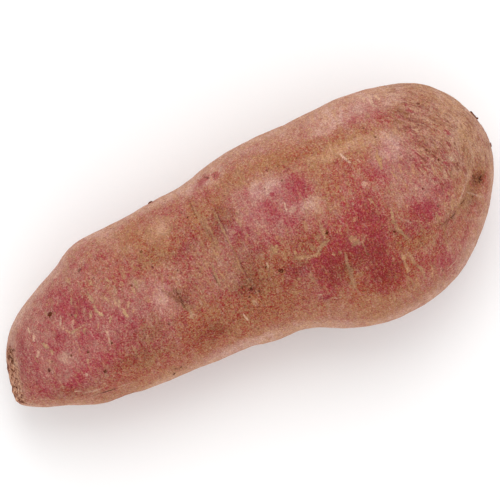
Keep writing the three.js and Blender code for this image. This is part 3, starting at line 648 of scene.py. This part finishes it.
def add_node(tree, kind, inputs, output=0, **settings):
    """Adds one node with its settings and inputs, and returns one of its outputs."""
    node = tree.nodes.new(kind)
    for name, value in settings.items():
        setattr(node, name, value)
    set_inputs(tree, node, inputs)
    return node.outputs[output]


def new_material(name):
    """A material, its node tree and the plain shader that is joined to its output."""
    material = bpy.data.materials.new(name)
    material.use_nodes = True
    return material, material.node_tree, material.node_tree.nodes["Principled BSDF"]


def pattern(tree, size_mm, detail, roughness, finer=(1, 1, 1)):
    """Noise from 0 to 1 with lumps of a real size, and how many times finer it is along each axis."""
    where = add_node(tree, "ShaderNodeTexCoord", {}, "Object")
    scale = [times / (size_mm * MM) for times in finer]
    cells = add_node(tree, "ShaderNodeMapping", {"Vector": where, "Scale": scale})
    inputs = {"Vector": cells, "Scale": 1.0, "Detail": detail, "Roughness": roughness}
    return add_node(tree, "ShaderNodeTexNoise", inputs)


def weighted(tree, base, *terms, clamp=False):
    """A sum: the base plus each value times its weight. Each is a number or an output."""
    for i, (value, weight) in enumerate(terms):
        last = i == len(terms) - 1
        inputs = {0: value, 1: weight, 2: base}
        base = add_node(tree, "ShaderNodeMath", inputs, operation="MULTIPLY_ADD", use_clamp=clamp and last)
    return base


def coat(tree, colour, paint, value, low, high, most=1.0):
    """Lays paint over a colour: none where the value is low, and the most where it is high."""
    edge = {"Value": value, "From Min": low, "From Max": high, "To Max": most}
    amount = add_node(tree, "ShaderNodeMapRange", edge, interpolation_type="SMOOTHSTEP")
    return add_node(tree, "ShaderNodeMix", {0: amount, 6: colour, 7: paint}, 2, data_type="RGBA")


def drawn_marks(tree, colour, fray):
    """The marks laid over a colour, each in its own paint, and how high they stand."""
    standing = 0.0
    for i in range(MARK_LAYERS):
        place = add_node(tree, "ShaderNodeAttribute", {}, "Vector", attribute_name=f"mark_place_{i}")
        paint = add_node(tree, "ShaderNodeAttribute", {}, "Color", attribute_name=f"mark_paint_{i}")
        strength = add_node(tree, "ShaderNodeAttribute", {}, "Alpha", attribute_name=f"mark_paint_{i}")
        height = add_node(tree, "ShaderNodeSeparateXYZ", {0: place}, "Z")
        flat = add_node(tree, "ShaderNodeVectorMath", {0: place, 1: (1, 1, 0)}, operation="MULTIPLY")
        reach = add_node(tree, "ShaderNodeVectorMath", {0: flat}, "Value", operation="LENGTH")
        edge = {"Value": weighted(tree, fray, (reach, 1.0)), "From Min": 1.25, "From Max": 0.85}
        inside = add_node(tree, "ShaderNodeMapRange", edge, interpolation_type="SMOOTHSTEP")
        amount = weighted(tree, 0.0, (inside, strength))
        colour = add_node(tree, "ShaderNodeMix", {0: amount, 6: colour, 7: paint}, 2, data_type="RGBA")
        standing = weighted(tree, standing, (height, inside))
    return colour, standing


def periderm():
    """Sweet potato periderm: a thin corky skin, grown and then washed, matte and a little dusty. The red
    pigment lies under a tan cork that has worn in patches, with raised cork strokes, pits where side roots
    broke off and cracks."""
    material, tree, shader = new_material("sweet_potato_periderm")
    zones = add_node(tree, "ShaderNodeAttribute", {}, "Vector", attribute_name="zones")
    red, warm, bloom_and_painted_light = (add_node(tree, "ShaderNodeSeparateXYZ", {0: zones}, axis) for axis in "XYZ")
    scar, soil, torn = (
        add_node(tree, "ShaderNodeAttribute", {}, "Fac", attribute_name=name)
        for name in ("scar", "soil", "torn")
    )

    # Mottle, from patches 7 mm wide down to a peppery grain. The skin's own grain is too fine to show, so
    # the pepper is drawn as coarse as a pixel of the picture
    patches = pattern(tree, 7.0, 3.0, 0.6, (1, 0.7, 0.7))
    blots = pattern(tree, 2.6, 3.0, 0.55, (1, 0.8, 0.8))
    grain = pattern(tree, 0.66, 2.0, 0.75)
    dust = pattern(tree, 0.5, 1.0, 0.6)
    where = add_node(tree, "ShaderNodeTexCoord", {}, "Object")
    cell_shape = {"Vector": where, "Scale": 1 / (PEPPER_CELL * MM)}
    cells = add_node(tree, "ShaderNodeTexVoronoi", cell_shape, "Color")
    pepper = [add_node(tree, "ShaderNodeSeparateXYZ", {0: cells}, axis) for axis in "XYZ"]
    # Flakes with torn edges, where the cork still holds or has come off, and smears that run round the root
    flakes = pattern(tree, 3.4, 5.0, 0.72, (1.1, 0.7, 0.7))
    smears = pattern(tree, 2.6, 4.0, 0.7, (1.6, 0.45, 0.45))
    thin_smears = pattern(tree, 1.6, 3.0, 0.7, (1.5, 0.4, 0.4))
    # Streaks of torn skin near the tip
    torn_place = add_node(tree, "ShaderNodeAttribute", {}, "Vector", attribute_name="torn_place")
    streak_shape = {"Vector": torn_place, "Scale": 1.0, "Detail": 4.0, "Roughness": 0.72, "Distortion": 1.1}
    streak = add_node(tree, "ShaderNodeTexNoise", streak_shape)
    tearing = weighted(tree, -0.5, (patches, 1.0), (blots, 1.0))
    edge = {"Value": tearing, "From Min": 0.2, "From Max": 0.56, "To Max": torn}
    streaky = add_node(tree, "ShaderNodeMapRange", edge, interpolation_type="SMOOTHSTEP")

    # Red pigment under the cork. Warm skin is browner and more speckled
    warmth = weighted(tree, -0.95, (warm, 1.0), (pepper[2], 0.7), (smears, 2.2), clamp=True)
    contrast = weighted(tree, 0.45, (warmth, 0.4))
    swing = weighted(tree, 0.5, (warmth, 0.6))
    coarse = weighted(tree, -0.35, (patches, 0.7), (weighted(tree, -0.75, (blots, 1.5)), swing))
    fine = weighted(tree, -1.08, (grain, 0.6), (pepper[0], 1.56))
    level = weighted(tree, red, (coarse, 1.0), (fine, contrast))
    for low, high, change in ((0.53, 0.565, -0.24), (0.45, 0.42, 0.22)):
        edge = {"Value": flakes, "From Min": low, "From Max": high, "To Max": change}
        flaked = add_node(tree, "ShaderNodeMapRange", edge, interpolation_type="SMOOTHSTEP")
        level = weighted(tree, level, (flaked, 1.0))
    level = weighted(tree, level, (weighted(tree, -1.3, (streak, 2.6)), streaky))
    pigment = weighted(tree, 0.03, (level, 0.95), clamp=True)
    cork = add_node(tree, "ShaderNodeMix", {0: warmth, 6: "#b48474", 7: "#a87853"}, 2, data_type="RGBA")
    flesh = add_node(tree, "ShaderNodeMix", {0: warmth, 6: "#9d3442", 7: "#963025"}, 2, data_type="RGBA")
    colour = add_node(tree, "ShaderNodeMix", {0: pigment, 6: cork, 7: flesh}, 2, data_type="RGBA")

    # Smears of cork and of darker skin, then the dry bloom, which is rubbed off in flakes. The bloom is
    # laid where the zones are paler, so it is also painted highlight on lit bumps, ridges and rims
    colour = coat(tree, colour, "#b5886b", smears, 0.57, 0.64, 0.45)
    colour = coat(tree, colour, "#7b4533", thin_smears, 0.40, 0.34, weighted(tree, 0.0, (contrast, 0.4)))
    colour = coat(tree, colour, "#cba391", thin_smears, 0.61, 0.68, 0.35)
    worn = weighted(tree, -1.8, (bloom_and_painted_light, 1.0), (blots, 1.4), (patches, 1.0), (smears, 1.2))
    dryness_and_highlight = weighted(tree, 0.0, (bloom_and_painted_light, 1.6), clamp=True)
    edge = {"Value": worn, "From Min": 0.05, "From Max": 0.75, "To Max": dryness_and_highlight}
    dry_and_lit = add_node(tree, "ShaderNodeMapRange", edge, interpolation_type="SMOOTHSTEP")
    patchy = pattern(tree, 4.6, 5.0, 0.72, (1.1, 0.7, 0.7))
    edge = {"Value": patchy, "From Min": 0.47, "From Max": 0.54, "To Min": 0.30, "To Max": 0.56}
    rubbed = add_node(tree, "ShaderNodeMapRange", edge, interpolation_type="SMOOTHSTEP")
    bloom_and_highlight = weighted(tree, 0.0, (dry_and_lit, rubbed))
    paint = add_node(tree, "ShaderNodeMix", {0: warmth, 6: "#cfada2", 7: "#c49878"}, 2, data_type="RGBA")
    dusty = weighted(tree, 0.0, (bloom_and_highlight, weighted(tree, 0.75, (dust, 0.5))))
    colour = add_node(tree, "ShaderNodeMix", {0: dusty, 6: colour, 7: paint}, 2, data_type="RGBA")

    # Torn streaks, dark where the skin is open and pale where cork has curled up
    colour = coat(tree, colour, "#7d4433", streak, 0.54, 0.61, weighted(tree, 0.0, (streaky, 0.75)))
    colour = coat(tree, colour, "#c3977c", streak, 0.46, 0.40, weighted(tree, 0.0, (streaky, 0.85)))

    # The broken stem scar: tan fibres with dark gaps
    fibres = pattern(tree, 1.6, 4.0, 0.8)
    broken = coat(tree, "#5d2410", "#bd8468", fibres, 0.43, 0.51)
    broken = coat(tree, broken, "#d2a98c", fibres, 0.54, 0.61)
    colour = add_node(tree, "ShaderNodeMix", {0: scar, 6: colour, 7: broken}, 2, data_type="RGBA")

    # Marks: cork strokes, pale scratches, dark pits and cracks and red scabs, with frayed edges. Some dark
    # and brown strokes along the folds are painted shade, and pale ones along the tip fold's ridge are
    # painted highlight
    fray = weighted(tree, -2.4, (blots, 1.6), (grain, 3.2))
    colour, standing = drawn_marks(tree, colour, fray)

    # Specks of dark soil, dry pale flecks, golden and rusty grains and pale dust, all over
    specks = pattern(tree, 0.85, 2.0, 0.8)
    sooty = weighted(tree, -1.0, (specks, 2.0), (bloom_and_painted_light, -0.05), (soil, 0.3))
    colour = coat(tree, colour, "#5c3018", sooty, 0.36, 0.44, 0.8)
    colour = coat(tree, colour, "#bd9479", pattern(tree, 1.3, 2.0, 0.7, (1, 0.5, 0.5)), 0.62, 0.72, 0.35)
    golden = weighted(tree, -0.4, (pepper[1], 1.0), (blots, 0.8))
    colour = coat(tree, colour, "#9f7346", golden, 0.70, 0.86, weighted(tree, 0.22, (warmth, 0.3)))
    rusty = weighted(tree, -0.3, (pepper[2], 1.0), (blots, 0.6))
    colour = coat(tree, colour, "#96525c", rusty, 0.78, 0.90, 0.40)
    colour = coat(tree, colour, "#dab5a6", dust, 0.5, 0.78, 0.15)

    # Paler and darker skin, with a fine grain. Where the lightness is below zero the colour is dimmed:
    # painted shade in dents, valleys and folds, and darker stained skin. The bloom adds a little painted
    # highlight
    lumps = pattern(tree, 1.7, 3.0, 0.6, (1.2, 0.8, 0.8))
    # depth is the lightness below zero: painted shade in dents, valleys and folds, and darker stained skin
    depth = add_node(tree, "ShaderNodeMath", {0: bloom_and_painted_light, 1: 0.0}, operation="MINIMUM")
    speckle = weighted(tree, 0.285, (dust, 0.84), (lumps, 0.34), (pepper[1], 0.16))
    shade = weighted(tree, speckle, (depth, 0.30), (bloom_and_highlight, 0.12))
    colour = add_node(tree, "ShaderNodeVectorMath", {0: colour, "Scale": shade}, operation="SCALE")

    # Relief too fine for the mesh, in metres
    wrinkles = pattern(tree, 1.6, 3.0, 0.6, (1.4, 0.5, 0.5))
    torn_edges = weighted(tree, 0.0, (streak, streaky))
    rough_scar = weighted(tree, 0.0, (fibres, scar))
    relief = weighted(tree, 0.0, (wrinkles, 0.55 * MM), (lumps, 0.30 * MM), (blots, 0.35 * MM))
    relief = weighted(tree, relief, (standing, 0.12 * MM), (torn_edges, 0.8 * MM), (rough_scar, 0.3 * MM))
    bump = add_node(tree, "ShaderNodeBump", {"Strength": 1.0, "Distance": 1.0, "Height": relief})

    set_inputs(tree, shader, {
        "Base Color": colour,
        "Normal": bump,
        "Roughness": 0.8,
        "IOR": 1.45,
        "Specular IOR Level": 0.06,
        "Sheen Weight": 0.04,
        "Sheen Roughness": 0.5,
        "Sheen Tint": "#f0dccb",
    })
    return material


def dry_root():
    """Dry rootlet: a thin, woody side root, broken off and dried dark brown, dull and fibrous."""
    material, tree, shader = new_material("dry_rootlet")
    fibres = pattern(tree, 0.5, 2.0, 0.5)
    bark = add_node(tree, "ShaderNodeMix", {0: fibres, 6: "#4a2013", 7: "#7f4630"}, 2, data_type="RGBA")
    set_inputs(tree, shader, {"Base Color": bark, "Roughness": 0.9, "Specular IOR Level": 0.05})
    return material


def matte_card():
    """White card: a plain matte sheet that stands for the studio's table, too dull to mirror the root."""
    material, tree, shader = new_material("white_card")
    set_inputs(tree, shader, {"Base Color": "#ffffff", "Roughness": 0.9, "Specular IOR Level": 0.1})
    return material


# The skin

skin_piece = fine_copy("sweet_potato")
skin = Skin(skin_piece.data)
scar = scar_field(skin)
skin.move(fine_relief(skin, scar))

# The rims are paler and less red, partly from a dusty bloom and partly as painted sheen and painted bounce
# light from the table. The underside has broad patches of its own, redder and on the whole darker, and the
# edge between the two wanders
facing = skin.normals[:, 2]
patch = noise_at(skin.points, 20.0, 9.0) + 0.6 * noise_at(skin.points, 8.0, 19.0)
cloud = noise_at(skin.points, 15.0, 11.0) + 0.5 * noise_at(skin.points, 6.0, 20.0)
rim_dust_and_sheen = smooth(0.62, 0.14, facing) * smooth(-0.6, 0.05, facing + 0.45 * cloud)
under = smooth(0.1, -0.35, facing)
red = 0.45 + zone_field(skin, RED_ZONES) - rim_dust_and_sheen * (0.52 - 0.3 * patch) + under * (0.05 + 0.55 * patch)
warm = zone_field(skin, WARM_ZONES) + 0.8 * under * noise_at(skin.points, 24.0, 10.0)
bloom_and_painted_light = zone_field(skin, BLOOM_AND_PAINTED_LIGHT_ZONES) + rim_dust_and_sheen * (0.95 + 0.25 * cloud) - under * (0.4 - 0.7 * cloud)
torn, torn_place = torn_field(skin)
skin.attribute("zones", np.stack([red, warm, bloom_and_painted_light], 1))
skin.attribute("scar", scar)
skin.attribute("torn", torn)
skin.attribute("torn_place", torn_place)
skin.attribute("soil", zone_field(skin, SOIL_ZONES) + 0.3 * under * noise_at(skin.points, 12.0, 17.0))
place_marks(skin, scar)
skin_piece.data.materials.append(periderm())
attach(skin_piece, "root")
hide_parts("sweet_potato")


# The rootlets

def tube(work, middle, radii):
    """A closed tube round a middle line, in metres."""
    rings = []
    for i, centre in enumerate(middle):
        ahead = middle[min(i + 1, len(middle) - 1)] - middle[max(i - 1, 0)]
        turned = Matrix.Translation(centre) @ ahead.to_track_quat("Z", "X").to_matrix().to_4x4()
        circle = bmesh.ops.create_circle(
            work,
            cap_ends=i in (0, len(middle) - 1),
            segments=STUB_SIDES,
            radius=radii[i],
            matrix=turned,
        )
        rings.append(list(dict.fromkeys(edge for vert in circle["verts"] for edge in vert.link_edges)))
    for low, high in zip(rings, rings[1:]):
        bmesh.ops.bridge_loops(work, edges=low + high)


def middle_line(corners, lift):
    """A slightly crooked line over the skin through the corners, four points to each stretch, in mm."""
    line = []
    for x, y in corners:
        at = skin.land(x, y)
        line.append(Vector(skin.points[at] + skin.normals[at] * lift))
    fine = [start.lerp(end, t) for start, end in zip(line, line[1:]) for t in (0, 0.25, 0.5, 0.75)]
    fine.append(line[-1])
    return [p + Vector(noise.noise_vector(p * 0.9)) * 0.18 for p in fine]


def rootlets():
    work = bmesh.new()
    for corners, lift, radius in STUBS:
        middle = middle_line(corners, lift)
        radii = [radius * (1 + 0.35 * noise.noise(p * 1.7)) for p in middle]
        radii[0] *= 0.5
        radii[-1] *= 0.5
        tube(work, [p * MM for p in middle], [r * MM for r in radii])
    bmesh.ops.recalc_face_normals(work, faces=work.faces)
    mesh = bpy.data.meshes.new("rootlets")
    work.to_mesh(mesh)
    work.free()
    mesh.polygons.foreach_set("use_smooth", np.ones(len(mesh.polygons), bool))
    mesh.materials.append(dry_root())
    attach(new_object("rootlets", mesh), "root")


rootlets()


# Table, light and camera

def studio():
    bpy.ops.mesh.primitive_plane_add(size=6.0, location=(0, 0, -0.0002))
    table = bpy.context.object
    table.name = "table"
    table.data.materials.append(matte_card())

    picture_up = Vector((math.sin(ROOT_TURN), math.cos(ROOT_TURN), 0))
    for name, reach, height, size, power in LAMPS:
        lamp = bpy.data.lights.new(name, "AREA")
        lamp.shape = "SQUARE"
        lamp.size = size
        lamp.energy = power
        holder = new_object(name, lamp)
        holder.location = picture_up * reach + Vector((0, 0, height))
        holder.rotation_euler = (-holder.location).to_track_quat("-Z", "Y").to_euler()

    world = bpy.data.worlds.new("studio")
    world.use_nodes = True
    background = world.node_tree.nodes["Background"]
    background.inputs["Color"].default_value = (1.0, 1.0, 1.0, 1.0)
    background.inputs["Strength"].default_value = WORLD_LIGHT
    bpy.context.scene.world = world
    bpy.context.scene.view_settings.view_transform = "Standard"

    lens = bpy.data.cameras.new("camera")
    lens.lens = LENS
    lens.sensor_width = SENSOR
    camera = new_object("camera", lens)
    distance = PICTURE_PX * MM_PER_PX * LENS / SENSOR
    camera.location = Vector((*PICTURE_CENTRE, WIDEST_HEIGHT + distance)) * MM
    camera.rotation_euler = Euler((0, 0, -ROOT_TURN))
    bpy.context.scene.camera = camera


studio()
